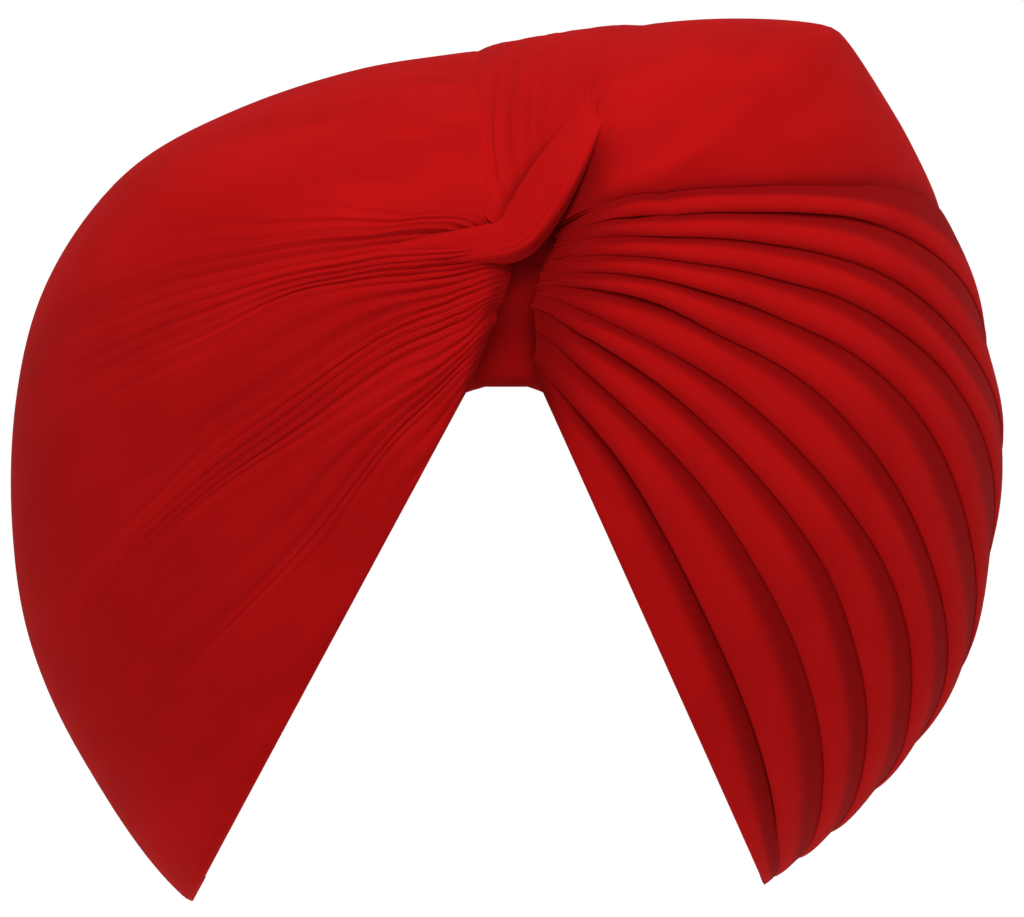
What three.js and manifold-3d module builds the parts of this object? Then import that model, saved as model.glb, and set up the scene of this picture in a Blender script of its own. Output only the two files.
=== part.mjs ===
// A wound cloth turban of deep red voile, modelled in millimetres with +Z up and its front towards -Y.
// The origin is the middle of the head opening, level with the lower hem of the brow band.
import * as THREE from "three";
import { mergeVertices } from "three/addons/utils/BufferGeometryUtils.js";
import Module from "manifold-3d";

const wasm = await Module();
wasm.setup();

// Outside sizes of the wound turban
const HALF_WIDTH = 139;
const CROWN_RISE = 84.7;
const LOBE_DROP = 166.9;
const FRONT_REACH = 118;
const BACK_REACH = 128;
const LEAN_DEGREES = 10;
const NAPE_SINK = 60;

// The hollow for the head
const HEAD_HALF_WIDTH = 76;
const HEAD_RISE = 56;
const HEAD_DROP = 240;
const HEAD_FRONT = 103;
const HEAD_BACK = 103;
const HEAD_SINK = 40;
const HEAD_ROUNDNESS = 2.5;

// The wound cloth
const WRAP_THICKNESS = 9;
const THINNEST_WALL = 10;
const WRAP_SHARE_OF_WALL = 0.45;
const PLEAT_DEPTH = 4.5;
const GATHER_DEPTH = 2;
const TAIL_FOLD_DEPTH = 2.2;
const BROW_THICKNESS = 3;
const TWIST_RISE = 4;
const TWIST_HALF_WIDTH = 6.2;
const SEAM_GAP = 0.5;
const LAYER_GAP = 2.5;

// How round the folds are: a power below 1 makes a section fuller than a half sine
const PLEAT_ROUNDNESS = 0.6;
const TWIST_ROUNDNESS = 0.7;
const PLEAT_SHARE_OF_WRAP = 0.7;

// Folds sink less from turn to turn, down to a least share; pleats start shallow, reach their depth in
// front and are flatter again where they go round the side
const FOLD_FADE_TURN = 1.25;
const FOLD_LEAST_SHARE = 0.12;
const PLEAT_FULL_TURN = 0.35;
const PLEAT_START_SHARE = 0.35;
const PLEAT_FLATTER_TURN = 0.6;
const PLEAT_SIDE_SHARE = 0.6;

// The openings: the face between the two front edges, and the arched hem at the nape
const BROW_DROP = 19.9;
const BROW_HALF_WIDTH = 10.8;
const BROW_PEAK = 15.5;
const BROW_BAND_RISE = 26;
const BROW_BAND_HALF_LENGTH = 42;
const NAPE_RISE = 17;
const NAPE_ARCH_POWER = 2;
const EDGE_SETBACK = 1.2;

// Angles are in degrees round the front, 0 to the wearer's left (+X), 90 upwards
const LEFT_EDGE_ANGLE = 241.9;
const RIGHT_EDGE_ANGLE = -66;
const CORNER_ANGLE = 41;

const CLOTH_RED = 0x9c1013;
const SHADE_RED = 0x7c0c0f;

// The widest outline seen from the front: x is a share of HALF_WIDTH, z of CROWN_RISE or LOBE_DROP
const RIGHT_TIP = { x: 0.518, z: -0.968 };
const LEFT_TIP = { x: -0.64, z: -1.0 };
const OUTLINE = [
  RIGHT_TIP,
  { x: 0.594, z: -0.923 },
  { x: 0.691, z: -0.855 },
  { x: 0.834, z: -0.719 },
  { x: 0.927, z: -0.583 },
  { x: 0.981, z: -0.378 },
  { x: 1.0, z: -0.2 },
  { x: 0.973, z: -0.063 },
  { x: 0.927, z: 0.188 },
  { x: 0.806, z: 0.597 },
  { x: 0.677, z: 0.933 },
  { x: 0.652, z: 0.968 },
  { x: 0.588, z: 0.99 },
  { x: 0.42, z: 1.0 },
  { x: 0.185, z: 0.963 },
  { x: -0.06, z: 0.912 },
  { x: -0.077, z: 0.889 },
  { x: -0.298, z: 0.832 },
  { x: -0.54, z: 0.701 },
  { x: -0.735, z: 0.53 },
  { x: -0.852, z: 0.329 },
  { x: -0.943, z: 0.06 },
  { x: -0.991, z: -0.14 },
  { x: -1.0, z: -0.35 },
  { x: -0.965, z: -0.549 },
  { x: -0.858, z: -0.753 },
  LEFT_TIP,
  { x: -0.35, z: -1.12 },
  { x: 0.0, z: -1.18 },
  { x: 0.3, z: -1.1 },
];

// Turns count from 0 at the front to 1 at the widest outline and 2 at the back
const FRONT_TURNS = [0.3, 0.4, 0.5, 0.6, 0.7, 0.8, 0.9, 1.0];
const BACK_TURNS = [1.25, 1.5, 1.75, 1.96];

// The rows of a line before its first turn: 0 is its start, 1 its neck and 2 its first turn
const STARTING_ROWS = [0, 0.25, 0.5, 0.75, 1, 1.5];
const WIDEST_ROW = STARTING_ROWS.length + FRONT_TURNS.length - 1;
const FRONT_STATIONS = 13;
const BACK_STATIONS = 9;

// How finely the curves are cut up, and how far a cut runs past the turban as a share of its reach
const OUTLINE_STEPS = 1440;
const EGG_RINGS = 15;
const EGG_SPOKE_DEGREES = 10;
const NAPE_STEPS = 6;
const TWIST_STEPS = 16;
const BROW_STEPS = 10;
const CUT_OVERRUN = 1.2;

// The valleys between the right pleats: turn and angle at the start and neck, then the angle at each turn
const PLEAT_VALLEYS = [
  {
    start: [0.222, 61], neck: [0.27, 43],
    front: [38, 30, 25, 21.5, 19.5, 17, 14.5, 12], back: [5.5, -8, -32, -60],
  },
  {
    start: [0.2, 59], neck: [0.25, 37],
    front: [31, 24, 19.5, 16, 12, 7.5, 3, -2], back: [-12, -28, -50, -70],
  },
  {
    start: [0.174, 56.4], neck: [0.2, 36.5],
    front: [23.5, 16.5, 11.5, 7, 2, -3, -8, -14], back: [-25, -40, -57, -73],
  },
  {
    start: [0.131, 55.2], neck: [0.2, 26.6],
    front: [14.8, 8, 3.5, -1.5, -6.5, -13, -19, -25], back: [-36, -48, -61, -76],
  },
  {
    start: [0.1, 51], neck: [0.2, 16.7],
    front: [5.8, -1, -6, -12, -18.5, -25, -31, -37], back: [-45.5, -53, -63.5, -78],
  },
  {
    start: [0.075, 44.6], neck: [0.2, 5.8],
    front: [-6, -12, -18.5, -24.5, -30.5, -36, -41, -46], back: [-52, -57.5, -66, -79],
  },
  {
    start: [0.06, 37.5], neck: [0.2, -11.8],
    front: [-18.5, -24.5, -29.5, -34, -39, -44, -48, -52], back: [-56.5, -61, -68.5, -80],
  },
  {
    start: [0.042, 19.9], neck: [0.2, -24.6],
    front: [-30.5, -35, -39, -43.5, -47.5, -51.5, -55, -58], back: [-60.5, -64, -71, -81],
  },
  {
    start: [0.042, -27], neck: [0.2, -39.4],
    front: [-42, -45.5, -48.5, -51.5, -54.5, -57.5, -60, -62], back: [-63.3, -67, -73.5, -82],
  },
  {
    start: [0.057, -62], neck: [0.2, -53],
    front: [-55, -57, -58.5, -60, -61.5, -63, -64, -65], back: [-66.5, -70, -76, -83],
  },
  {
    start: [0.085, RIGHT_EDGE_ANGLE], neck: [0.2, RIGHT_EDGE_ANGLE],
    front: FRONT_TURNS.map(() => RIGHT_EDGE_ANGLE), back: [-69.5, -73.5, -78, -84],
  },
];

// The gathers of the left wrap, from its front edge up to the tail: sink is a share of GATHER_DEPTH
const LEFT_GATHERS = [
  {
    sink: 0.4, start: [0.078, LEFT_EDGE_ANGLE], neck: [0.2, LEFT_EDGE_ANGLE],
    front: FRONT_TURNS.map(() => LEFT_EDGE_ANGLE), back: [244, 247, 251, 256],
  },
  {
    sink: 0, start: [0.051, 238], neck: [0.18, 230],
    front: [231, 230.5, 230, 230.5, 231, 232, 233, 234], back: [238, 241.5, 246, 252],
  },
  {
    sink: 1, start: [0.031, 228], neck: [0.17, 225],
    front: [226.5, 226.8, 226.5, 226.5, 227, 228, 229, 230], back: [235, 238.5, 243, 250],
  },
  {
    sink: 0, start: [0.015, 199], neck: [0.15, 216],
    front: [213, 213.2, 215, 217, 219, 221, 222.5, 224], back: [229, 233.5, 239, 247],
  },
  {
    sink: 0.8, start: [0.033, 114], neck: [0.15, 202],
    front: [208, 209.8, 212, 214, 216, 218, 219.5, 221], back: [226, 231, 237, 245.5],
  },
  {
    sink: 0, start: [0.062, 94], neck: [0.15, 191.5],
    front: [203, 206.3, 209.3, 211.3, 213, 214.5, 216, 217.5], back: [222, 227.5, 234.5, 244],
  },
  {
    sink: 1, start: [0.095, 86], neck: [0.15, 181],
    front: [196, 200.5, 205.5, 208, 209.5, 210.5, 212, 213], back: [217, 223, 231, 242],
  },
  {
    sink: 0, start: [0.121, 86], neck: [0.17, 166],
    front: [176.5, 185.5, 190, 193, 195, 196.5, 198, 199], back: [204, 212, 223, 238],
  },
  {
    sink: 0.6, start: [0.14, 86], neck: [0.18, 156],
    front: [171, 179.5, 184.5, 187.5, 189.5, 191, 192.5, 193.5], back: [198, 206, 218, 235],
  },
  {
    sink: 0, start: [0.157, 87], neck: [0.2, 150],
    front: [166, 174, 179, 182.5, 184.5, 186, 187.5, 188.5], back: [193, 201, 213.5, 231],
  },
  {
    sink: 1, start: [0.175, 89], neck: [0.22, 136],
    front: [157.5, 167, 172.5, 176.5, 179, 180.5, 181.5, 182.5], back: [187, 194, 207, 226],
  },
  {
    sink: 0, start: [0.19, 91], neck: [0.24, 122],
    front: [147, 159.5, 165.5, 170, 173, 175, 176, 177], back: [180, 186, 198, 218],
  },
  {
    sink: 0, start: [0.206, 91], neck: [0.255, 110],
    front: [131, 143, 149, 154, 157, 159, 160, 161], back: [163, 167, 177, 198],
  },
  {
    sink: 0, start: [0.22, 90], neck: [0.27, 99.5],
    front: [100.5, 100, 99.2, 98.3, 97.8, 97.3, 97, 97], back: [97, 98, 101, 112],
  },
];

// Two lines leave the twist high up and run over the crown: the tail's edge and the crown's corner
const TAIL_EDGE = { start: [0.5, 67], crown: 65.7, ease: 1, back: [68.5, 72, 72, 66] };
const CROWN_CORNER = { start: [0.36, 64], crown: CORNER_ANGLE, ease: 4, back: [41, 41, 41, 41] };
const DOME_SHARES = [0.2, 0.4, 0.6, 0.8];
const TAIL_FOLD_SHARES = [0, 0.17, 0.33, 0.5, 0.67, 0.83, 1];
const TOP_WRAP_SHARES = [0, 0.34, 0.67, 1];
const PLEAT_SHARES = [0, 0.2, 0.5, 0.8, 1];

// The twist along its length, as shares of HALF_WIDTH, CROWN_RISE, TWIST_HALF_WIDTH and TWIST_RISE
const TWIST_SECTIONS = [
  { x: -0.137, z: 0.188, half: 0.42, rise: 0 },
  { x: -0.085, z: 0.205, half: 0.52, rise: 0.4 },
  { x: -0.03, z: 0.228, half: 0.6, rise: 0.8 },
  { x: 0.014, z: 0.25, half: 0.65, rise: 1 },
  { x: 0.052, z: 0.32, half: 0.72, rise: 1 },
  { x: 0.085, z: 0.42, half: 0.8, rise: 1 },
  { x: 0.122, z: 0.52, half: 0.9, rise: 0.85 },
  { x: 0.16, z: 0.63, half: 0.97, rise: 0.55 },
  { x: 0.192, z: 0.74, half: 1, rise: 0.1 },
];
const TWIST_SIDES = [-1, -0.7, -0.25, 0.25, 0.7, 1];
const BROW_SIDES = [0, 0.5, 1];

// The sides of the opening that shows the brow band, from left hem to right hem, as shares of its sizes
const BROW_OPENING = [
  { x: -1.09, z: -1 },
  { x: -0.83, z: -0.6 },
  { x: -0.57, z: -0.32 },
  { x: -0.28, z: 0.24 },
  { x: 0.06, z: 0.92 },
  { x: 0.6, z: 1 },
  { x: 0.88, z: 0.5 },
  { x: 0.88, z: -0.03 },
  { x: 0.95, z: -1 },
];

const radians = THREE.MathUtils.degToRad;
const lerp = THREE.MathUtils.lerp;
const LEAN = Math.tan(radians(LEAN_DEGREES));

// The reach of the outline from the origin at every whole degree
const outlineReaches = measureOutline();

function heightOf(share) {
  return share * (share > 0 ? CROWN_RISE : LOBE_DROP);
}

function measureOutline() {
  const corners = OUTLINE.map(({ x, z }) => new THREE.Vector3(x * HALF_WIDTH, heightOf(z), 0));
  const loop = new THREE.CatmullRomCurve3(corners, true, "centripetal").getPoints(OUTLINE_STEPS);
  const reaches = new Array(360).fill(0);
  for (let degree = 0; degree < 360; degree++) {
    const ray = new THREE.Vector3(Math.cos(radians(degree)), Math.sin(radians(degree)), 0);
    const nearest = loop.reduce((best, point) => (point.angleTo(ray) < best.angleTo(ray) ? point : best));
    reaches[degree] = nearest.length();
  }
  return reaches;
}

function outlineReach(angle) {
  const wrapped = THREE.MathUtils.euclideanModulo(angle, 360);
  const whole = Math.floor(wrapped);
  return lerp(outlineReaches[whole % 360], outlineReaches[(whole + 1) % 360], wrapped - whole);
}

// The head's outline is an ellipse above and a squarer oval below
function headReach(angle) {
  const across = Math.abs(Math.cos(radians(angle))) / HEAD_HALF_WIDTH;
  const up = Math.sin(radians(angle));
  const power = up > 0 ? 2 : HEAD_ROUNDNESS;
  const along = Math.abs(up) / (up > 0 ? HEAD_RISE : HEAD_DROP);
  const reach = (across ** power + along ** power) ** (-1 / power);
  return Math.min(reach, outlineReach(angle) - THINNEST_WALL);
}

// A point of an egg that leans forward: its sections shrink to the front, and to a lower place at the back
function leaningPoint(turn, angle, { reach, front, back, sink }) {
  const swell = Math.sin((turn * Math.PI) / 2);
  const forward = Math.cos((turn * Math.PI) / 2);
  const y = -forward * (forward > 0 ? front : back);
  const drop = forward > 0 ? 0 : sink * (1 - swell);
  const size = reach(angle) * swell;
  return new THREE.Vector3(
    size * Math.cos(radians(angle)),
    y,
    size * Math.sin(radians(angle)) - drop - y * LEAN,
  );
}

const OUTSIDE = { reach: outlineReach, front: FRONT_REACH, back: BACK_REACH, sink: NAPE_SINK };
const HEAD = { reach: headReach, front: HEAD_FRONT, back: HEAD_BACK, sink: HEAD_SINK };

function wallAt(turn, angle) {
  return leaningPoint(turn, angle, OUTSIDE).distanceTo(leaningPoint(turn, angle, HEAD));
}

function wrapThicknessAt(turn, angle) {
  return Math.min(WRAP_THICKNESS, WRAP_SHARE_OF_WALL * wallAt(turn, angle));
}

// A point at a depth below the outside, on the straight way in to the head
function pointAtDepth(turn, angle, depth) {
  const outside = leaningPoint(turn, angle, OUTSIDE);
  return outside.lerp(leaningPoint(turn, angle, HEAD), depth / wallAt(turn, angle));
}

function solidFrom(geometry) {
  geometry.deleteAttribute("normal");
  geometry.deleteAttribute("uv");
  const merged = mergeVertices(geometry, 1e-4);
  const mesh = new wasm.Mesh({
    numProp: 3,
    vertProperties: merged.attributes.position.array,
    triVerts: new Uint32Array(merged.index.array),
  });
  return new wasm.Manifold(mesh);
}

// A closed solid between an outer and an inner net of points, both as rows of equal length
function solidBetween(outerRows, innerRows) {
  const rows = outerRows.length;
  const columns = outerRows[0].length;
  const points = [...outerRows.flat(), ...innerRows.flat()];
  const index = [];
  const outer = (row, column) => row * columns + column;
  const inner = (row, column) => rows * columns + outer(row, column);
  const quad = (a, b, c, d) => index.push(a, b, c, a, c, d);
  for (let row = 0; row < rows - 1; row++) {
    for (let column = 0; column < columns - 1; column++) {
      quad(outer(row, column), outer(row + 1, column), outer(row + 1, column + 1), outer(row, column + 1));
      quad(inner(row, column), inner(row, column + 1), inner(row + 1, column + 1), inner(row + 1, column));
    }
    quad(outer(row, 0), inner(row, 0), inner(row + 1, 0), outer(row + 1, 0));
    const last = columns - 1;
    quad(outer(row, last), outer(row + 1, last), inner(row + 1, last), inner(row, last));
  }
  for (let column = 0; column < columns - 1; column++) {
    const last = rows - 1;
    quad(outer(0, column), outer(0, column + 1), inner(0, column + 1), inner(0, column));
    quad(outer(last, column), inner(last, column), inner(last, column + 1), outer(last, column + 1));
  }
  const geometry = new THREE.BufferGeometry().setFromPoints(points);
  geometry.setIndex(index);
  const solid = solidFrom(geometry);
  return solid.volume() > 0 ? solid : solidFrom(turnedOver(geometry));
}

function turnedOver(geometry) {
  const index = Array.from(geometry.index.array);
  for (let i = 0; i < index.length; i += 3) {
    [index[i + 1], index[i + 2]] = [index[i + 2], index[i + 1]];
  }
  return geometry.clone().setIndex(index);
}

// A closed egg at a depth below the outside, or the head itself
function egg(pointAt) {
  const angles = [];
  for (let angle = 0; angle < 360; angle += EGG_SPOKE_DEGREES) angles.push(angle);
  angles.push(CORNER_ANGLE);
  angles.sort((first, second) => first - second);
  const turns = [];
  for (let step = 1; step < EGG_RINGS; step++) turns.push((step * 2) / EGG_RINGS);
  const points = [pointAt(0, 0), pointAt(2, 0)];
  for (const turn of turns) for (const angle of angles) points.push(pointAt(turn, angle));
  const at = (ring, spoke) => 2 + ring * angles.length + (spoke % angles.length);
  const index = [];
  for (let spoke = 0; spoke < angles.length; spoke++) {
    index.push(0, at(0, spoke), at(0, spoke + 1));
    index.push(1, at(turns.length - 1, spoke + 1), at(turns.length - 1, spoke));
    for (let ring = 0; ring < turns.length - 1; ring++) {
      index.push(at(ring, spoke), at(ring + 1, spoke), at(ring + 1, spoke + 1));
      index.push(at(ring, spoke), at(ring + 1, spoke + 1), at(ring, spoke + 1));
    }
  }
  const geometry = new THREE.BufferGeometry().setFromPoints(points);
  geometry.setIndex(index);
  const solid = solidFrom(geometry);
  return solid.volume() > 0 ? solid : solidFrom(turnedOver(geometry));
}

// A prism through the turban along its leaning length, from a front-view outline
function leaningPrism(outline, fromY, toY) {
  const shape = new THREE.Shape(outline.map(([x, z]) => new THREE.Vector2(x, z)));
  const geometry = new THREE.ExtrudeGeometry(shape, { depth: toY - fromY, bevelEnabled: false });
  geometry.applyMatrix4(
    new THREE.Matrix4().set(1, 0, 0, 0, 0, 0, -1, toY, 0, 1, LEAN, -toY * LEAN, 0, 0, 0, 1),
  );
  return solidFrom(geometry);
}

function alongEdge(angle, distance) {
  return [distance * Math.cos(radians(angle)), distance * Math.sin(radians(angle))];
}

// The open face: the brow opening, widening down both front edges
function faceOpening() {
  const far = 2 * LOBE_DROP;
  const [leftX, leftZ] = alongEdge(LEFT_EDGE_ANGLE, far);
  const [rightX, rightZ] = alongEdge(RIGHT_EDGE_ANGLE, far);
  const sides = BROW_OPENING.map(({ x, z }) => [x * BROW_HALF_WIDTH, z * (z > 0 ? BROW_PEAK : BROW_DROP)]);
  const outline = [[leftX - EDGE_SETBACK, leftZ], ...sides, [rightX + EDGE_SETBACK, rightZ]];
  return leaningPrism(outline, -FRONT_REACH * CUT_OVERRUN, 0);
}

// The arched hem at the back: everything below it is open
function napeOpening() {
  const outline = [];
  for (const tip of [RIGHT_TIP, LEFT_TIP]) {
    const [tipX, tipZ] = [tip.x * HALF_WIDTH, tip.z * LOBE_DROP];
    const side = [];
    for (let step = 0; step <= NAPE_STEPS; step++) {
      const share = step / NAPE_STEPS;
      side.push([tipX * share, -NAPE_RISE + (tipZ + NAPE_RISE) * share ** NAPE_ARCH_POWER]);
    }
    side.push([tipX, tipZ * CUT_OVERRUN]);
    outline.push(...(tipX > 0 ? side.reverse() : side.slice(1)));
  }
  return leaningPrism(outline, 0, BACK_REACH * CUT_OVERRUN);
}

function largestOf(solid) {
  return solid.decompose().reduce((best, body) => (body.volume() > best.volume() ? body : best));
}

// Turn and angle of the outside where it shows at x, z seen along the lean
function placeSeenAt(x, z) {
  const angle = THREE.MathUtils.radToDeg(Math.atan2(z, x));
  const swell = Math.min(1, Math.hypot(x, z) / outlineReach(angle));
  return { turn: (Math.asin(swell) * 2) / Math.PI, angle };
}

// The rows before a line's first turn lie on a smooth curve as seen from the front, so that no line swings
// out beside the knot
function startingRows(places) {
  const seen = places.map(([turn, angle]) => {
    const [x, z] = alongEdge(angle, outlineReach(angle) * Math.sin((turn * Math.PI) / 2));
    return new THREE.Vector3(x, z, 0);
  });
  const curve = new THREE.CatmullRomCurve3(seen);
  let before = places[0][1];
  return STARTING_ROWS.map((row) => {
    const point = curve.getPoint(row / (places.length - 1));
    const { turn, angle } = placeSeenAt(point.x, point.y);
    before = angle + 360 * Math.round((before - angle) / 360);
    return [turn, before];
  });
}

// A fold line as a smooth curve through its table row: x holds the turn, y the angle, z the sink
function foldLine({ start, neck, front, back, sink = 0 }) {
  const turned = FRONT_TURNS.map((turn, i) => [turn, front[i]]);
  BACK_TURNS.forEach((turn, i) => turned.push([turn, back[i]]));
  const points = [...startingRows([start, neck, turned[0], turned[1]]), ...turned];
  return curveThrough(points, sink);
}

// A line that eases from its start on the twist to its angle at the crown
function risingLine({ start, crown, ease, back }) {
  const points = [];
  for (let row = 0; row <= WIDEST_ROW; row++) {
    const share = row / WIDEST_ROW;
    points.push([lerp(start[0], 1, share), lerp(crown, start[1], (1 - share) ** ease)]);
  }
  BACK_TURNS.forEach((turn, i) => points.push([turn, back[i]]));
  return curveThrough(points, 0);
}

function curveThrough(points, sink) {
  const curve = new THREE.CatmullRomCurve3(
    points.map(([turn, angle]) => new THREE.Vector3(turn, angle, sink)),
    false,
    "catmullrom",
  );
  return stationShares().map((share) => curve.getPoint(share));
}

// Where along a line its rows lie: evenly in front of the widest outline, and evenly behind it
function stationShares() {
  const widest = WIDEST_ROW / (WIDEST_ROW + BACK_TURNS.length);
  const shares = [];
  for (let i = 0; i < FRONT_STATIONS; i++) shares.push((widest * i) / FRONT_STATIONS);
  for (let i = 0; i <= BACK_STATIONS; i++) shares.push(lerp(widest, 1, i / BACK_STATIONS));
  return shares;
}

// The net of a wrap from its lines: depthAt gives how far each point lies below the outside
function wrapSolid(lines, depthAt) {
  const outerRows = [];
  const innerRows = [];
  for (let station = 0; station < lines[0].length; station++) {
    const row = lines.map((line) => line[station]);
    outerRows.push(pinched(row.map(({ x, y, z }, i) => pointAtDepth(x, y, depthAt(x, y, z, i)))));
    innerRows.push(pinched(row.map(({ x, y }) => pointAtDepth(x, y, wrapThicknessAt(x, y)))));
  }
  return solidBetween(outerRows, innerRows);
}

// A row with half a seam gap taken off at both ends
function pinched(row) {
  const last = row.length - 1;
  const ends = [
    [0, 1],
    [last, last - 1],
  ];
  const moved = ends.map(([end, next]) => {
    const way = row[next].clone().sub(row[end]);
    return row[end].clone().addScaledVector(way.normalize(), SEAM_GAP / 2);
  });
  return [moved[0], ...row.slice(1, last), moved[1]];
}

function linesBetween(first, second, shares) {
  return shares.map((share) => first.map((point, i) => point.clone().lerp(second[i], share)));
}

// Folds are deep near the knot and die out towards the widest outline
function fading(turn) {
  return THREE.MathUtils.clamp(FOLD_FADE_TURN - turn, FOLD_LEAST_SHARE, 1);
}

function pleatSwell(turn) {
  const opened = THREE.MathUtils.clamp(turn / PLEAT_FULL_TURN, PLEAT_START_SHARE, 1);
  const roundTheSide = THREE.MathUtils.smoothstep(turn, PLEAT_FLATTER_TURN, 1);
  return opened * lerp(1, PLEAT_SIDE_SHARE, roundTheSide);
}

function pleat(upper, lower) {
  const lines = linesBetween(upper, lower, PLEAT_SHARES);
  return wrapSolid(lines, (turn, angle, sink, i) => {
    const hollow = 1 - Math.sin(Math.PI * PLEAT_SHARES[i]) ** PLEAT_ROUNDNESS;
    const depth = Math.min(PLEAT_DEPTH, PLEAT_SHARE_OF_WRAP * wrapThicknessAt(turn, angle));
    return depth * pleatSwell(turn) * hollow;
  });
}

// Gathers below, then a smooth dome up to the tail
function leftWrap(lines) {
  const tail = lines[lines.length - 1];
  const folded = lines.slice(0, -1);
  const dome = linesBetween(folded[folded.length - 1], tail, DOME_SHARES);
  return wrapSolid([...folded, ...dome, tail], (turn, angle, sink) => GATHER_DEPTH * sink * fading(turn));
}

function topWrap(tail, corner, valley) {
  const above = linesBetween(tail, corner, TOP_WRAP_SHARES);
  const below = linesBetween(corner, valley, TOP_WRAP_SHARES);
  return wrapSolid([...above, ...below.slice(1)], () => 0);
}

function tuckedTail(left, right) {
  const lines = linesBetween(left, right, TAIL_FOLD_SHARES);
  return wrapSolid(lines, (turn, angle, sink, i) => (i % 2 ? 0 : TAIL_FOLD_DEPTH * fading(turn)));
}

// The rolled twist lies in a channel between the wraps: grow widens it into that channel, and cuts it through
function frontTwist(grow) {
  const axis = new THREE.CatmullRomCurve3(
    TWIST_SECTIONS.map(({ x, z }) => new THREE.Vector3(x * HALF_WIDTH, z * CROWN_RISE, 0)),
  );
  const sizes = new THREE.CatmullRomCurve3(
    TWIST_SECTIONS.map(({ half, rise }) => new THREE.Vector3(half * TWIST_HALF_WIDTH, rise * TWIST_RISE, 0)),
  );
  const outerRows = [];
  const innerRows = [];
  for (let step = 0; step <= TWIST_STEPS; step++) {
    const middle = axis.getPoint(step / TWIST_STEPS);
    const way = axis.getTangent(step / TWIST_STEPS);
    const size = sizes.getPoint(step / TWIST_STEPS);
    const half = size.x + grow;
    if (step === 0) middle.addScaledVector(way, -grow);
    if (step === TWIST_STEPS) middle.addScaledVector(way, grow);
    const outer = [];
    const inner = [];
    for (const side of TWIST_SIDES) {
      const place = placeSeenAt(middle.x + way.y * side * half, middle.y - way.x * side * half);
      const rise = Math.max(0, size.y) * Math.cos((side * Math.PI) / 2) ** TWIST_ROUNDNESS;
      const floor = wrapThicknessAt(place.turn, place.angle) + (grow > 0 ? LAYER_GAP / 2 : 0);
      outer.push(pointAtDepth(place.turn, place.angle, -rise - grow));
      inner.push(pointAtDepth(place.turn, place.angle, floor));
    }
    outerRows.push(outer);
    innerRows.push(inner);
  }
  return solidBetween(outerRows, innerRows);
}

// The brow band hugs the forehead from temple to temple, and grow makes the room that it lies in
function browBand(grow) {
  const outerRows = [];
  const innerRows = [];
  for (let column = 0; column <= BROW_STEPS; column++) {
    const x = (BROW_BAND_HALF_LENGTH + grow) * ((2 * column) / BROW_STEPS - 1);
    const outer = [];
    const inner = [];
    for (const share of BROW_SIDES) {
      const z = lerp(-BROW_DROP - grow, BROW_BAND_RISE + grow, share);
      const angle = THREE.MathUtils.radToDeg(Math.atan2(z, x));
      const forward = Math.sqrt(1 - (Math.hypot(x, z) / headReach(angle)) ** 2);
      const y = -HEAD_FRONT * forward;
      inner.push(new THREE.Vector3(x, y + 2 * grow, z - y * LEAN));
      outer.push(new THREE.Vector3(x, y - BROW_THICKNESS - grow, z - y * LEAN));
    }
    outerRows.push(outer);
    innerRows.push(inner);
  }
  return solidBetween(outerRows, innerRows);
}

function innerWraps(face, nape) {
  const outside = egg((turn, angle) =>
    pointAtDepth(turn, angle, wrapThicknessAt(turn, angle) + LAYER_GAP),
  );
  const head = egg((turn, angle) => leaningPoint(turn, angle, HEAD));
  const wound = outside.subtract(head).subtract(face).subtract(nape).subtract(browBand(LAYER_GAP));
  return largestOf(wound);
}

function clothMaterial(color) {
  return new THREE.MeshStandardMaterial({ color, roughness: 0.85, metalness: 0 });
}

function meshOf(name, solid, color) {
  const { vertProperties, triVerts } = solid.getMesh();
  const geometry = new THREE.BufferGeometry();
  geometry.setAttribute("position", new THREE.BufferAttribute(vertProperties, 3));
  geometry.setIndex(new THREE.BufferAttribute(triVerts, 1));
  geometry.computeVertexNormals();
  const mesh = new THREE.Mesh(geometry, clothMaterial(color));
  mesh.name = name;
  return mesh;
}

const group = new THREE.Group();
const face = faceOpening();
const nape = napeOpening();
const channel = frontTwist(SEAM_GAP);
const valleys = PLEAT_VALLEYS.map(foldLine);
const gathers = LEFT_GATHERS.map(foldLine);
const tailLeft = gathers[gathers.length - 1];
const tailRight = risingLine(TAIL_EDGE);

// The outer wraps lie beside each other, cut off by the twist's channel and the hem at the nape
function addWrap(name, solid) {
  group.add(meshOf(name, largestOf(solid.subtract(channel).subtract(nape)), CLOTH_RED));
}

group.add(meshOf("inner_wraps", innerWraps(face, nape), SHADE_RED));
group.add(meshOf("brow_band", browBand(0), SHADE_RED));
group.add(meshOf("front_twist", frontTwist(0), CLOTH_RED));
addWrap("left_wrap", leftWrap(gathers));
addWrap("tucked_tail", tuckedTail(tailLeft, tailRight));
addWrap("top_wrap", topWrap(tailRight, risingLine(CROWN_CORNER), valleys[0]));
for (let i = 0; i < valleys.length - 1; i++) {
  addWrap(`right_pleat_${i + 1}`, pleat(valleys[i], valleys[i + 1]));
}

export default group;
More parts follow.
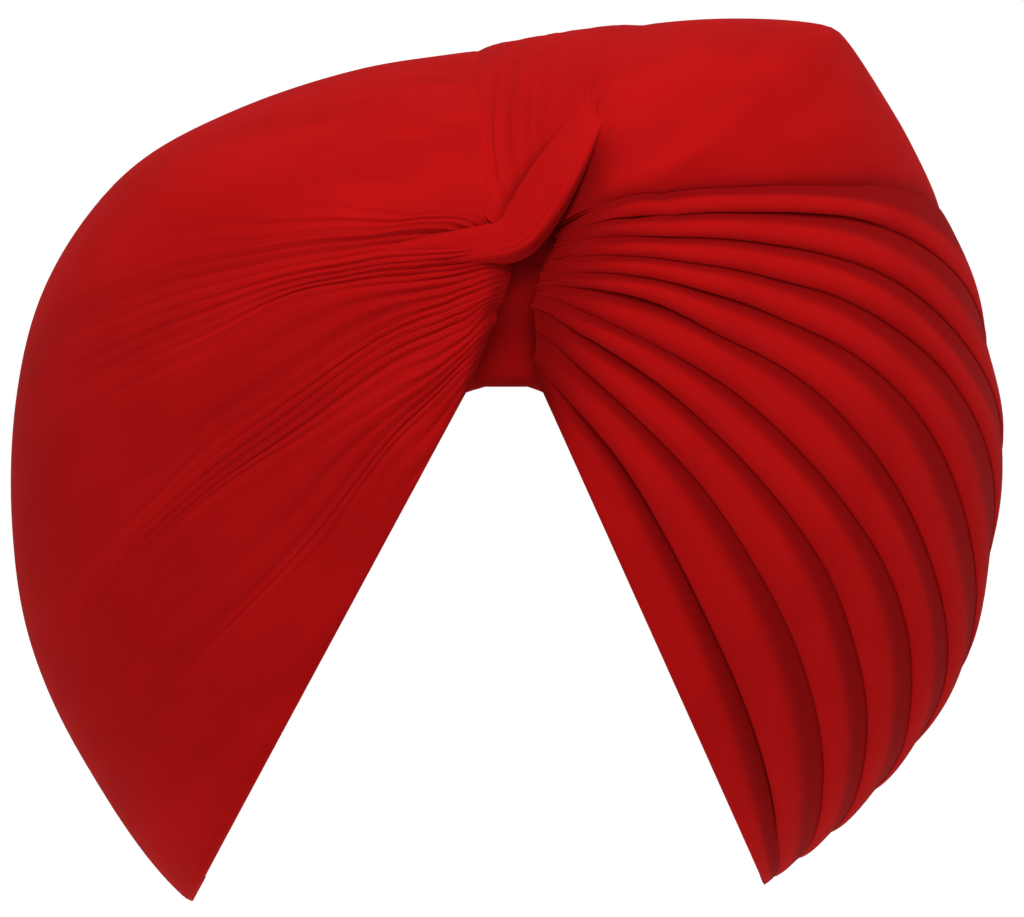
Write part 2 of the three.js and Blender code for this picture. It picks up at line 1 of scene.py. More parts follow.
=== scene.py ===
import bmesh
import bpy
import numpy as np
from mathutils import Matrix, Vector


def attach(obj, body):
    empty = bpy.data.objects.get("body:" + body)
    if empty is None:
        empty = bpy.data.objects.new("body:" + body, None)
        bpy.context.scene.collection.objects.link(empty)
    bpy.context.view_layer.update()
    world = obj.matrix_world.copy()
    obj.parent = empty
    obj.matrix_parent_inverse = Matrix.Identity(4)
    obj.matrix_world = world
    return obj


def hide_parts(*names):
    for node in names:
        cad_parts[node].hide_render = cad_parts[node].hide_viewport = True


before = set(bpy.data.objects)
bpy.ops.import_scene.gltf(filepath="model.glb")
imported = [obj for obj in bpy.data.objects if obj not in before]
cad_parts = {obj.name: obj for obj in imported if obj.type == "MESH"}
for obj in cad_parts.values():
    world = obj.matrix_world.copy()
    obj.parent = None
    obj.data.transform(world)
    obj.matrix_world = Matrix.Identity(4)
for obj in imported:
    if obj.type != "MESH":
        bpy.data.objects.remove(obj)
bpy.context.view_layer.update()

# Inner wraps: the many loose turns of voile wound under the outer ones, with the hollow for the head.
# Their cut-away face side shows the edges of the turns. The shape is the solid's own, with its corners
# softened as cloth and the turns raised on it.
MM = 0.001
HALF_WIDTH = 139 * MM
CROWN_RISE = 84.7 * MM
LOBE_DROP = 166.9 * MM
FRONT_REACH = 118 * MM
BACK_REACH = 128 * MM
NAPE_SINK = 60 * MM
LEAN = np.tan(np.radians(10))

HEAD_HALF_WIDTH = 76 * MM
HEAD_RISE = 56 * MM
HEAD_DROP = 240 * MM
HEAD_REACH = 103 * MM
HEAD_SINK = 40 * MM
HEAD_ROUNDNESS = 2.5
THINNEST_WALL = 10 * MM
WRAP_THICKNESS = 9 * MM
WRAP_SHARE_OF_WALL = 0.45

# The widest outline from the front, as shares of the half width and of the crown's rise or the lobes' drop
OUTLINE = [
    (0.518, -0.968), (0.594, -0.923), (0.691, -0.855), (0.834, -0.719), (0.927, -0.583),
    (0.981, -0.378), (1.0, -0.2), (0.973, -0.063), (0.927, 0.188), (0.806, 0.597),
    (0.677, 0.933), (0.652, 0.968), (0.588, 0.99), (0.42, 1.0), (0.185, 0.963),
    (-0.07, 0.893), (-0.298, 0.832), (-0.54, 0.701), (-0.735, 0.53), (-0.852, 0.329),
    (-0.943, 0.06), (-0.991, -0.14), (-1.0, -0.35), (-0.965, -0.549), (-0.858, -0.753),
    (-0.64, -1.0), (-0.35, -1.12), (0.0, -1.18), (0.3, -1.1),
]
RIGHT_TIP = (0.518, -0.968)
LEFT_TIP = (-0.64, -1.0)


def smooth_loop(corners, steps=40):
    """Points on a closed smooth curve through the corners, with knots spaced by the root of the distance."""
    before, after, beyond = (np.roll(corners, shift, 0) for shift in (1, -1, -2))
    sides = ((before, corners), (corners, after), (after, beyond))
    gaps = [np.linalg.norm(b - a, axis=1) ** 0.5 for a, b in sides]
    first, middle, last = (gap[:, None, None] for gap in gaps)
    a, b, c, d = (points[:, None] for points in (before, corners, after, beyond))
    leave = ((b - a) / first - (c - a) / (first + middle) + (c - b) / middle) * middle
    arrive = ((c - b) / middle - (d - b) / (middle + last) + (d - c) / last) * middle
    t = np.linspace(0, 1, steps, endpoint=False)[None, :, None]
    curve = b * (2 * t**3 - 3 * t**2 + 1) + c * (3 * t**2 - 2 * t**3)
    curve += leave * (t**3 - 2 * t**2 + t) + arrive * (t**3 - t**2)
    return curve.reshape(-1, 2)


outline = smooth_loop(
    np.array([(x * HALF_WIDTH, z * (CROWN_RISE if z > 0 else LOBE_DROP)) for x, z in OUTLINE])
)
outline_angles = np.degrees(np.arctan2(outline[:, 1], outline[:, 0]))
outline_reaches = np.linalg.norm(outline, axis=1)


def outline_reach(angle):
    return np.interp(angle, outline_angles, outline_reaches, period=360)


def head_reach(angle):
    across = np.abs(np.cos(np.radians(angle))) / HEAD_HALF_WIDTH
    up = np.sin(np.radians(angle))
    power = np.where(up > 0, 2, HEAD_ROUNDNESS)
    reach = (across**power + (np.abs(up) / np.where(up > 0, HEAD_RISE, HEAD_DROP)) ** power) ** (-1 / power)
    return np.minimum(reach, outline_reach(angle) - THINNEST_WALL)


def leaning_point(turn, angle, reach, front, back, sink):
    """A place on a leaning egg: turn runs from 0 at the front over 1 at the widest to 2 at the back."""
    swell = np.sin(turn * np.pi / 2)
    forward = np.cos(turn * np.pi / 2)
    y = -forward * np.where(forward > 0, front, back)
    size = reach(angle) * swell
    drop = np.where(forward > 0, 0, sink * (1 - swell))
    z = size * np.sin(np.radians(angle)) - drop - y * LEAN
    return np.stack([size * np.cos(np.radians(angle)), y, z], -1)


def cloth_point(turn, angle, depth=0.0, most=None):
    """A place at a depth below the outside, on the straight way in to the head, and no deeper than most."""
    outside = leaning_point(turn, angle, outline_reach, FRONT_REACH, BACK_REACH, NAPE_SINK)
    inside = leaning_point(turn, angle, head_reach, HEAD_REACH, HEAD_REACH, HEAD_SINK)
    wall = np.linalg.norm(inside - outside, axis=-1)
    if most is not None:
        depth = np.minimum(depth, most * wall)
    return outside + (inside - outside) * (depth / wall)[..., None]


def wrap_depth(turn, angle):
    outside = leaning_point(turn, angle, outline_reach, FRONT_REACH, BACK_REACH, NAPE_SINK)
    inside = leaning_point(turn, angle, head_reach, HEAD_REACH, HEAD_REACH, HEAD_SINK)
    return np.minimum(WRAP_THICKNESS, WRAP_SHARE_OF_WALL * np.linalg.norm(inside - outside, axis=-1))


def smooth(value):
    """An even step from 0 to 1."""
    value = np.clip(value, 0, 1)
    return value * value * (3 - 2 * value)


def waver(values, seed, waves=5):
    """A smooth irregular run between about -1 and 1, the same for the same seed."""
    draws = np.random.default_rng(seed)
    runs = [(draws.uniform(0.5, 2.5), draws.uniform(0, 2 * np.pi)) for _ in range(waves)]
    return sum(np.sin(2 * np.pi * pace * values + start) for pace, start in runs) / (0.6 * waves)


def add_node(tree, kind, **settings):
    made = tree.nodes.new(kind)
    for key, value in settings.items():
        setattr(made, key, value)
    return made


def plug(tree, socket, value):
    if isinstance(value, bpy.types.NodeSocket):
        tree.links.new(value, socket)
    else:
        socket.default_value = value


def maths(tree, operation, *values):
    made = add_node(tree, "ShaderNodeMath", operation=operation)
    for socket, value in zip(made.inputs, values):
        plug(tree, socket, value)
    return made.outputs[0]


def spread(tree, value, low, high, to_low=0.0, to_high=1.0):
    made = add_node(tree, "ShaderNodeMapRange", interpolation_type="SMOOTHSTEP")
    for socket, given in zip(made.inputs, (value, low, high, to_low, to_high)):
        plug(tree, socket, given)
    return made.outputs[0]


def stretched_noise(tree, vector, scale, detail):
    mapping = add_node(tree, "ShaderNodeMapping")
    plug(tree, mapping.inputs["Vector"], vector)
    mapping.inputs["Scale"].default_value = scale
    made = add_node(tree, "ShaderNodeTexNoise")
    plug(tree, made.inputs["Vector"], mapping.outputs[0])
    plug(tree, made.inputs["Scale"], 1.0)
    plug(tree, made.inputs["Detail"], detail)
    return made.outputs[0]


def new_group(name, takes, gives):
    group = bpy.data.node_groups.new(name, "ShaderNodeTree")
    for word, kind in takes:
        group.interface.new_socket(word, in_out="INPUT", socket_type=kind)
    for word in gives:
        group.interface.new_socket(word, in_out="OUTPUT", socket_type="NodeSocketFloat")
    return group, add_node(group, "NodeGroupInput"), add_node(group, "NodeGroupOutput")


def plain_weave():
    """Threads over and under each other, wavering a little, and the small gaps between them."""
    group, given, out = new_group(
        "voile_weave", [("Cloth", "NodeSocketVector"), ("Pitch", "NodeSocketFloat")], ("Threads", "Gaps")
    )
    uneven = stretched_noise(group, given.outputs["Cloth"], (160, 160, 1), 2)
    split = add_node(group, "ShaderNodeSeparateXYZ")
    plug(group, split.inputs[0], given.outputs["Cloth"])
    waves = []
    for way in (0, 1):
        count = maths(group, "DIVIDE", split.outputs[way], given.outputs["Pitch"])
        shaken = maths(group, "ADD", count, maths(group, "MULTIPLY", uneven, 1.4))
        waves.append(maths(group, "SINE", maths(group, "MULTIPLY", shaken, np.pi)))
    crossing = maths(group, "ABSOLUTE", maths(group, "MULTIPLY", *waves))
    plug(group, out.inputs["Threads"], maths(group, "POWER", crossing, 0.6))
    plug(group, out.inputs["Gaps"], spread(group, crossing, 0.0, 0.35, 1.0, 0.0))
    return group


def soft_creases():
    """Fine creases that run along the cloth, and broad patches where it lies a little lighter or darker."""
    group, given, out = new_group("voile_creases", [("Cloth", "NodeSocketVector")], ("Height", "Patches"))
    cloth = given.outputs["Cloth"]
    long_ones = stretched_noise(group, cloth, (260, 24, 1), 3)
    broad_ones = stretched_noise(group, cloth, (70, 30, 1), 2)
    both = maths(group, "ADD", maths(group, "MULTIPLY", long_ones, 0.45), broad_ones)
    plug(group, out.inputs["Height"], both)
    plug(group, out.inputs["Patches"], stretched_noise(group, cloth, (34, 18, 1), 4))
    return group


WEAVE = plain_weave()
CREASES = soft_creases()
THREAD_PITCH = 0.42 * MM
THREAD_HEIGHT = 0.05 * MM
GAP_DARKNESS = 0.22
DEEP_RED = (0.27, 0.0024, 0.0026, 1)
BRIGHT_RED = (0.31, 0.003, 0.0032, 1)
# The colour that the painted shade in folds, grooves and hollows darkens towards, and the dark of the weave's
# gaps
SHADE_AND_GAP_RED = (0.155, 0.0013, 0.0015, 1)
# A darker painted-shade copy of the reds, for the cloth that lies in shade: the inner turns and the brow band
SHADED_RED = (0.235, 0.002, 0.0022, 1)
SHADED_VALLEY_RED = (0.13, 0.001, 0.0012, 1)


def voile(name, lit, base, shade_and_gap_colour, crease_height):
    """Matte cotton voile: dyed threads, soft patches, fine creases, and painted shade, a darker red where the
    painted_shade value is high.
    """
    made = bpy.data.materials.new(name)
    made.use_nodes = True
    tree = made.node_tree
    shader = tree.nodes["Principled BSDF"]
    cloth = add_node(tree, "ShaderNodeUVMap", uv_map="cloth").outputs[0]
    weave = add_node(tree, "ShaderNodeGroup", node_tree=WEAVE)
    plug(tree, weave.inputs["Cloth"], cloth)
    plug(tree, weave.inputs["Pitch"], THREAD_PITCH)
    creases = add_node(tree, "ShaderNodeGroup", node_tree=CREASES)
    plug(tree, creases.inputs["Cloth"], cloth)
    painted_shade = add_node(tree, "ShaderNodeAttribute", attribute_name="painted_shade").outputs["Fac"]

    def blended(share, first, second):
        mix = add_node(tree, "ShaderNodeMix", data_type="RGBA")
        plug(tree, mix.inputs["Factor"], share)
        plug(tree, mix.inputs[6], first)
        plug(tree, mix.inputs[7], second)
        return mix.outputs[2]

    patched = blended(spread(tree, creases.outputs["Patches"], 0.35, 0.68), base, lit)
    # Painted shade: the colour darkens towards the shade colour as the painted_shade attribute rises
    with_painted_shade = blended(spread(tree, painted_shade, 0.0, 1.0, 0.0, 1.0), patched, shade_and_gap_colour)
    # The weave's gaps are the cloth's own dark between the threads
    gapped = blended(maths(tree, "MULTIPLY", weave.outputs["Gaps"], GAP_DARKNESS), with_painted_shade, shade_and_gap_colour)
    plug(tree, shader.inputs["Base Color"], gapped)
    shader.inputs["Roughness"].default_value = 0.9
    shader.inputs["Specular IOR Level"].default_value = 0.02
    shader.inputs["Sheen Weight"].default_value = 0.04
    shader.inputs["Sheen Roughness"].default_value = 0.6
    shader.inputs["Sheen Tint"].default_value = (0.9, 0.05, 0.05, 1)
    creased = add_node(tree, "ShaderNodeBump")
    plug(tree, creased.inputs["Height"], creases.outputs["Height"])
    creased.inputs["Distance"].default_value = crease_height
    threads = add_node(tree, "ShaderNodeBump")
    plug(tree, threads.inputs["Height"], weave.outputs["Threads"])
    threads.inputs["Distance"].default_value = THREAD_HEIGHT
    threads.inputs["Strength"].default_value = 0.5
    plug(tree, threads.inputs["Normal"], creased.outputs[0])
    plug(tree, shader.inputs["Normal"], threads.outputs[0])
    return made


OUTER_VOILE = voile("outer_voile", BRIGHT_RED, DEEP_RED, SHADE_AND_GAP_RED, 0.35 * MM)
# Painted shade: the same voile, darker all over, for the inner turns and the brow band
SHADED_VOILE = voile("inner_voile", DEEP_RED, SHADED_RED, SHADED_VALLEY_RED, 0.4 * MM)


def finish_piece(piece, node, material):
    """Rides with the turban in place of its solid, smooth, in its own cloth."""
    piece.data.materials.clear()
    piece.data.materials.append(material)
    piece.data.polygons.foreach_set("use_smooth", [True] * len(piece.data.polygons))
    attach(piece, "root")
    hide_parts(node)


def worked_in(piece):
    """Makes the modified mesh the piece's own."""
    shown = piece.evaluated_get(bpy.context.evaluated_depsgraph_get())
    mesh = bpy.data.meshes.new_from_object(shown)
    piece.modifiers.clear()
    piece.data = mesh


VOXEL = 2.4 * MM
TURN_SPACING = 6.5 * MM
TURN_RAISE = 0.7 * MM
TURN_SHADE = 0.7
GIRTH_REACH = 0.09
EDGE_DRAWN_IN = 0.7 * MM
EDGE_BEHIND = 1.2 * MM
EDGE_BACK = 35 * MM
EDGE_TOP = -20 * MM
EDGE_ZONE = 4 * MM
EDGE_SPACING = 3.2 * MM
# The folded front edges: the side, and the way across the edge as seen from the front
FRONT_EDGES = [(1, 0.9135, 0.4067), (-1, -0.8821, 0.471)]

bm = bmesh.new()
bm.from_mesh(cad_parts["inner_wraps"].data)
bmesh.ops.remove_doubles(bm, verts=bm.verts, dist=0.01 * MM)
mesh = bpy.data.meshes.new("wound_inner_turns")
bm.to_mesh(mesh)
bm.free()
inner = bpy.data.objects.new("wound_inner_turns", mesh)
bpy.context.collection.objects.link(inner)
remesh = inner.modifiers.new("remesh", "REMESH")
remesh.mode = "VOXEL"
remesh.voxel_size = VOXEL
worked_in(inner)

bm = bmesh.new()
bm.from_mesh(inner.data)
for _ in range(3):
    bmesh.ops.smooth_vert(bm, verts=bm.verts, factor=0.5, use_axis_x=True, use_axis_y=True, use_axis_z=True)
bm.normal_update()
places = np.array([vert.co[:] for vert in bm.verts])
normals = np.array([vert.normal[:] for vert in bm.verts])
height = places[:, 2] + places[:, 1] * LEAN
girth = np.linalg.norm(places * (1.0, 0.8, 0.9), axis=1)
facing_in = np.einsum("ij,ij->i", normals, places * (1, 1, 0.6)) < 0
turn_count = (height + 0.35 * np.abs(places[:, 0]) + 1.5 * MM * waver(places[:, 1] / 0.06, 3)) / TURN_SPACING
edge_count = girth / EDGE_SPACING + 0.3 * waver(height / 0.05, 4)
steps = np.where(facing_in, turn_count, edge_count) % 1
lift = TURN_RAISE * np.where(facing_in, steps**0.7 * (1 - steps**8), np.sin(np.pi * steps))
moves = normals * (lift - EDGE_DRAWN_IN * ~facing_in)[:, None]
# The turns are kept behind the folded front edges
for side, across_x, across_z in FRONT_EDGES:
    seen = places + moves
    beyond = seen[:, 0] * across_x + (seen[:, 2] + seen[:, 1] * LEAN) * across_z
    low_front = (seen[:, 0] * side > 0) & (seen[:, 1] < EDGE_BACK) & (seen[:, 2] < EDGE_TOP)
    push = np.where(low_front & (beyond > -EDGE_ZONE), np.maximum(EDGE_BEHIND - beyond, 0), 0)
    moves += push[:, None] * (across_x, 0, across_z)
for vert, move in zip(bm.verts, moves):
    vert.co.x += move[0]
    vert.co.y += move[1]
    vert.co.z += move[2]
# Painted shade: darker in the low places between the raised turns and between the turns' edges
painted_shade_layer = bm.verts.layers.float.new("painted_shade")
for vert, value in zip(bm.verts, 1 - lift / TURN_RAISE):
    vert[painted_shade_layer] = TURN_SHADE * value
cloth_layer = bm.loops.layers.uv.new("cloth")
for face in bm.faces:
    for loop in face.loops:
        x, y, z = loop.vert.co
        loop[cloth_layer].uv = (np.arctan2(x, y) * GIRTH_REACH, z + 0.4 * abs(x))
bm.to_mesh(inner.data)
bm.free()
# The inner turns wear the darker painted-shade copy of the voile
finish_piece(inner, "inner_wraps", SHADED_VOILE)

# Brow band: the under wrap over the forehead, which shows as a small dark trapezoid below the knot; the dark
# is painted shade.
# One strip of voile, folded under along a level hem and held by the wraps over its ends.
BROW_HALF_LENGTH = 42 * MM
BROW_DROP = 19.9 * MM
BROW_RISE = 26 * MM
BROW_PROUD = 3 * MM
BROW_SWELL = 3.5 * MM
CLOTH_THICKNESS = 0.9 * MM


def sheet_from(name, places, folds, node, material):
    """A sheet of voile on a grid of places, with painted shade given for each place, with its thickness on
    the inside.
    """
    rows, columns = folds.shape
    bm = bmesh.new()
    bmesh.ops.create_grid(bm, x_segments=columns - 1, y_segments=rows - 1, size=0.5)
    painted_shade_layer = bm.verts.layers.float.new("painted_shade")
    cloth_layer = bm.loops.layers.uv.new("cloth")
    across = np.zeros_like(folds)
    across[:, 1:] = np.cumsum(np.linalg.norm(np.diff(places, axis=1), axis=-1), axis=1)
    along = np.zeros_like(folds)
    along[1:] = np.cumsum(np.linalg.norm(np.diff(places, axis=0), axis=-1), axis=0)
    across -= across[:, [columns // 2]]
    cells = {}
    for vert in bm.verts:
        cell = (round((vert.co.y + 0.5) * (rows - 1)), round((vert.co.x + 0.5) * (columns - 1)))
        cells[vert] = cell
        # The values given as folds are the painted shade at each place
        vert[painted_shade_layer] = folds[cell]
        vert.co = places[cell]
    for face in bm.faces:
        for loop in face.loops:
            cell = cells[loop.vert]
            loop[cloth_layer].uv = (across[cell], along[cell])
    bmesh.ops.recalc_face_normals(bm, faces=bm.faces)
    facing = sum(face.calc_area() * face.normal.dot(face.calc_center_median()) for face in bm.faces)
    if facing < 0:
        bmesh.ops.reverse_faces(bm, faces=bm.faces)
    area = sum(face.calc_area() for face in bm.faces)
    mesh = bpy.data.meshes.new(name)
    bm.to_mesh(mesh)
    bm.free()
    piece = bpy.data.objects.new(name, mesh)
    bpy.context.collection.objects.link(piece)
    wall = piece.modifiers.new("cloth", "SOLIDIFY")
    wall.thickness = CLOTH_THICKNESS
    wall.offset = -1
    finish_piece(piece, node, material)


across, up = np.meshgrid(np.linspace(-1, 1, 85), np.linspace(0, 1, 49))
hem_roll = np.clip(1 - up / 0.06, 0, 1)
x = BROW_HALF_LENGTH * across
z = -BROW_DROP + (BROW_DROP + BROW_RISE) * up
reach = head_reach(np.degrees(np.arctan2(z, x)))
forward = np.sqrt(1 - (np.hypot(x, z) / reach) ** 2)
laps = 0.5 * np.sin(2 * np.pi * (2.2 * up + 0.25 * across)) + 0.35 * waver(across * 0.8 + up, 7)
proud = BROW_PROUD - 2.2 * MM * hem_roll**2 + 0.6 * MM * laps * (1 - hem_roll)
proud = proud + BROW_SWELL * smooth((up - 0.3) / 0.5)
y = -HEAD_REACH * forward - proud
brow_places = np.stack([x, y, z - y * LEAN], -1)
# Painted shade over the whole band, more on the rolled hem and less on the raised laps, in the darker
# painted-shade copy of the voile
sheet_from(
    "folded_brow_band", brow_places, 0.45 + 0.2 * hem_roll - 0.12 * laps, "brow_band",
    SHADED_VOILE,
)

# Left wrap: one wide turn of the cloth, gathered into fine folds where it is drawn into the knot, and
# smooth over the side and the back. Its front edge is folded under in a straight line.
FRONT_TURNS = (0.3, 0.4, 0.5, 0.6, 0.7, 0.8, 0.9, 1.0)
BACK_TURNS = (1.25, 1.5, 1.75, 1.96)
STARTING_ROWS = (0, 0.25, 0.5, 0.75, 1, 1.5)
WIDEST_ROW = len(STARTING_ROWS) + len(FRONT_TURNS) - 1
LAST_STATION = WIDEST_ROW + len(BACK_TURNS)
LEFT_EDGE_ANGLE = 241.9
RIGHT_EDGE_ANGLE = -66
NAPE_RISE = 17 * MM
NAPE_ARCH_POWER = 2
GATHER_DEPTH = 1.0
DEPTH_ALLOWANCE = 1.5 * MM

# Each gather: how far it sinks, its turn and angle at the start and neck, then its angle at each turn
LEFT_GATHERS = [
    (0.4, (0.078, LEFT_EDGE_ANGLE), (0.2, LEFT_EDGE_ANGLE),
     (LEFT_EDGE_ANGLE,) * 8, (244, 247, 251, 256)),
    (0.0, (0.051, 238), (0.18, 230),
     (231, 230.5, 230, 230.5, 231, 232, 233, 234), (238, 241.5, 246, 252)),
    (1.0, (0.031, 228), (0.17, 225),
     (226.5, 226.8, 226.5, 226.5, 227, 228, 229, 230), (235, 238.5, 243, 250)),
    (0.0, (0.015, 199), (0.15, 216),
     (213, 213.2, 215, 217, 219, 221, 222.5, 224), (229, 233.5, 239, 247)),
    (0.8, (0.033, 114), (0.15, 202),
     (208, 209.8, 212, 214, 216, 218, 219.5, 221), (226, 231, 237, 245.5)),
    (0.0, (0.062, 94), (0.15, 191.5),
     (203, 206.3, 209.3, 211.3, 213, 214.5, 216, 217.5), (222, 227.5, 234.5, 244)),
    (1.0, (0.095, 86), (0.15, 181),
     (196, 200.5, 205.5, 208, 209.5, 210.5, 212, 213), (217, 223, 231, 242)),
    (0.0, (0.121, 86), (0.17, 166),
     (176.5, 185.5, 190, 193, 195, 196.5, 198, 199), (204, 212, 223, 238)),
    (0.6, (0.14, 86), (0.18, 156),
     (171, 179.5, 184.5, 187.5, 189.5, 191, 192.5, 193.5), (198, 206, 218, 235)),
    (0.0, (0.157, 87), (0.2, 150),
     (166, 174, 179, 182.5, 184.5, 186, 187.5, 188.5), (193, 201, 213.5, 231)),
    (1.0, (0.175, 89), (0.22, 136),
     (157.5, 167, 172.5, 176.5, 179, 180.5, 181.5, 182.5), (187, 194, 207, 226)),
    (0.0, (0.19, 91), (0.24, 122),
     (147, 159.5, 165.5, 170, 173, 175, 176, 177), (180, 186, 198, 218)),
    (0.0, (0.206, 91), (0.255, 110),
     (131, 143, 149, 154, 157, 159, 160, 161), (163, 167, 177, 198)),
    (0.0, (0.22, 90), (0.27, 99.5),
     (100.5, 100, 99.2, 98.3, 97.8, 97.3, 97, 97), (97, 98, 101, 112)),
]

# Along the twist, in mm as seen from the front: its place, half width and rise above the wraps
TWIST_SECTIONS = [
    (-40.0, 14.4, 1.5, -2.0), (-26.0, 16.2, 2.3, -1.0), (-13.0, 17.7, 2.9, 0.0), (-3.0, 18.9, 3.3, 1.0),
    (3.5, 21.4, 3.7, 1.7), (8.3, 26.8, 4.0, 2.0), (12.7, 33.7, 4.1, 1.9), (16.8, 41.4, 3.9, 1.4),
    (20.6, 49.2, 3.4, 0.6), (24.2, 57.0, 2.8, -0.7), (27.8, 65.5, 2.2, -2.4),
]
TWIST_GROOVE = 1.8

# Beside the knot, in mm as seen from the front: the place, half width and depth along each crease or ridge
KNOT_RELIEF = {
    "bright_band": [
        (-49.8, 13.1, 5.0, 0.0), (-33, 15.6, 4.4, -0.6), (-16.2, 17.6, 3.8, -0.8), (-2.2, 18.6, 3.2, -0.8),
    ],
    "crease_above": [
        (-42, 20.4, 2.2, 0.0), (-24, 21.9, 2.2, 0.7), (-10, 23.2, 2.4, 1.8), (-3.0, 24.2, 3.2, 2.2),
    ],
    "crease_below": [
        (-30, 9.0, 2.0, 0.0), (-16, 12.4, 1.8, 0.6), (-4, 14.6, 1.8, 1.2), (1.0, 15.2, 1.8, 1.4),
    ],
}

# The hem at the nape, where the cloth turns under: the distance from it and the drop, in mm
HEM_ROLL = [(0.0, 9.0), (0.1, 5.0), (0.2, 2.0), (0.35, 0.9), (0.6, 0.35), (1.1, 0.08), (1.9, 0.0)]

# How a wrap sinks away towards its start: the drop there, how far it reaches and how far its painted shade
# reaches, in mm, and the turn where this ends
DEEP_START = (7.0, 8.0, 19.0, 0.5)
SOFT_START = (4.5, 4.0, 6.0, 0.5)
BAND_START = (4.5, 7.0, 12.0, 0.5)
TAIL_START = (2.0, 5.0, 4.0, 0.7)


def through(rows, at):
    """Places on the smooth curve through the rows, at whole and part row numbers."""
    rows = np.asarray(rows, float)
    ends = np.concatenate([[2 * rows[0] - rows[1]], rows, [2 * rows[-1] - rows[-2]]])
    first = np.clip(np.floor(at).astype(int), 0, len(rows) - 2)
    t = np.asarray(at - first, float).reshape(np.shape(at) + (1,) * (rows.ndim - 1))
    a, b, c, d = (ends[first + step] for step in range(4))
    return 0.5 * (2 * b + (c - a) * t + (2 * a - 5 * b + 4 * c - d) * t**2 + (3 * b - a - 3 * c + d) * t**3)


def seen_from_front(turn, angle):
    size = outline_reach(angle) * np.sin(turn * np.pi / 2)
    return size * np.cos(np.radians(angle)) / MM, size * np.sin(np.radians(angle)) / MM


def place_seen_at(x, z):
    """The turn and angle of the outside where it shows at x, z seen along the lean, in mm."""
    angle = np.degrees(np.arctan2(z, x))
    swell = np.hypot(x, z) * MM / outline_reach(angle)
    return np.arcsin(np.clip(swell, 0, 1)) * 2 / np.pi, angle


def smooth_path(corners, at):
    """Places on an open smooth curve through the corners, with knots spaced by the root of the distance."""
    ends = np.concatenate([[2 * corners[0] - corners[1]], corners, [2 * corners[-1] - corners[-2]]])
    gaps = np.linalg.norm(np.diff(ends, axis=0), axis=1) ** 0.5
    first = np.clip(np.floor(at).astype(int), 0, len(corners) - 2)
    t = (at - first)[:, None]
    a, b, c, d = (ends[first + step] for step in range(4))
    before, middle, after = (gaps[first + step][:, None] for step in range(3))
    leave = ((b - a) / before - (c - a) / (before + middle) + (c - b) / middle) * middle
    arrive = ((c - b) / middle - (d - b) / (middle + after) + (d - c) / after) * middle
    curve = b * (2 * t**3 - 3 * t**2 + 1) + c * (3 * t**2 - 2 * t**3)
    return curve + leave * (t**3 - 2 * t**2 + t) + arrive * (t**3 - t**2)


def fold_line(start, neck, front, back):
    """The line's rows. Those before its first turn lie on a smooth curve as seen from the front."""
    turned = [*zip(FRONT_TURNS, front), *zip(BACK_TURNS, back)]
    seen = np.array([seen_from_front(*place) for place in (start, neck, *turned[:2])])
    turn, angle = place_seen_at(*smooth_path(seen, np.array(STARTING_ROWS)).T)
    angle = np.unwrap(np.concatenate([[start[1]], angle]), period=360)[1:]
    return np.array([*zip(turn, angle), *turned], float)


def under_lines(x, z, rows, sharpness):
    """How deep the places x, z lie under a line of sections: full on the line, fading past its half width."""
    line = through(rows, np.linspace(0, len(rows) - 1, 48))
    distance = np.hypot(x[..., None] - line[:, 0], z[..., None] - line[:, 1])
    nearest = distance.argmin(-1)
    share = distance.min(-1) / line[nearest, 2]
    return line[nearest, 3] / (1 + share**sharpness)


def groove_beside_twist():
    """The rows of the groove that lies under the twist's outer side, towards the pleats."""
    rows = np.array(TWIST_SECTIONS)
    way = np.gradient(rows[:, :2], axis=0)
    way /= np.linalg.norm(way, axis=1, keepdims=True)
    places = rows[:, :2] + way[:, ::-1] * (1, -1) * rows[:, 2:3] * 1.1
    depths = TWIST_GROOVE * smooth((rows[:, 3:] - 0.4) / 1.4)
    return np.concatenate([places, rows[:, 2:3] + 1.5, depths], 1)


groove_rows = groove_beside_twist()
# The wraps' own ridge under the twist: the shares of its half width and its rise
RIDGE_SHARES = (1.9, -0.8)
ridge_rows = np.array([
    (x, z, RIDGE_SHARES[0] * half, RIDGE_SHARES[1] * max(rise, 0)) for x, z, half, rise in TWIST_SECTIONS
])


def on_front(turn):
    """1 over the front, where the knot's relief lies, and 0 from turn 0.75 on."""
    return np.clip((0.75 - turn) / 0.1, 0, 1)


def room_for_folds(turn, angle):
    """The share of the folds' depth that fits where the wall is thin."""
    return np.clip(0.8 * wrap_depth(turn, angle) / (5 * MM), 0.35, 1)


def softly_limited(depth, limit):
    """Depths up to 0.7 of the limit as they are, and beyond that ever closer to it."""
    over = np.maximum(depth / limit - 0.7, 0)
    return np.where(over > 0, limit * (1 - 0.3 * np.exp(-over / 0.3)), depth)


def hem_height(x):
    """The height of the arched hem at the nape, seen along the lean."""
    tip_x = np.where(x > 0, RIGHT_TIP[0], LEFT_TIP[0]) * HALF_WIDTH
    tip_z = np.where(x > 0, RIGHT_TIP[1], LEFT_TIP[1]) * LOBE_DROP
    return -NAPE_RISE + (tip_z + NAPE_RISE) * (x / tip_x) ** NAPE_ARCH_POWER


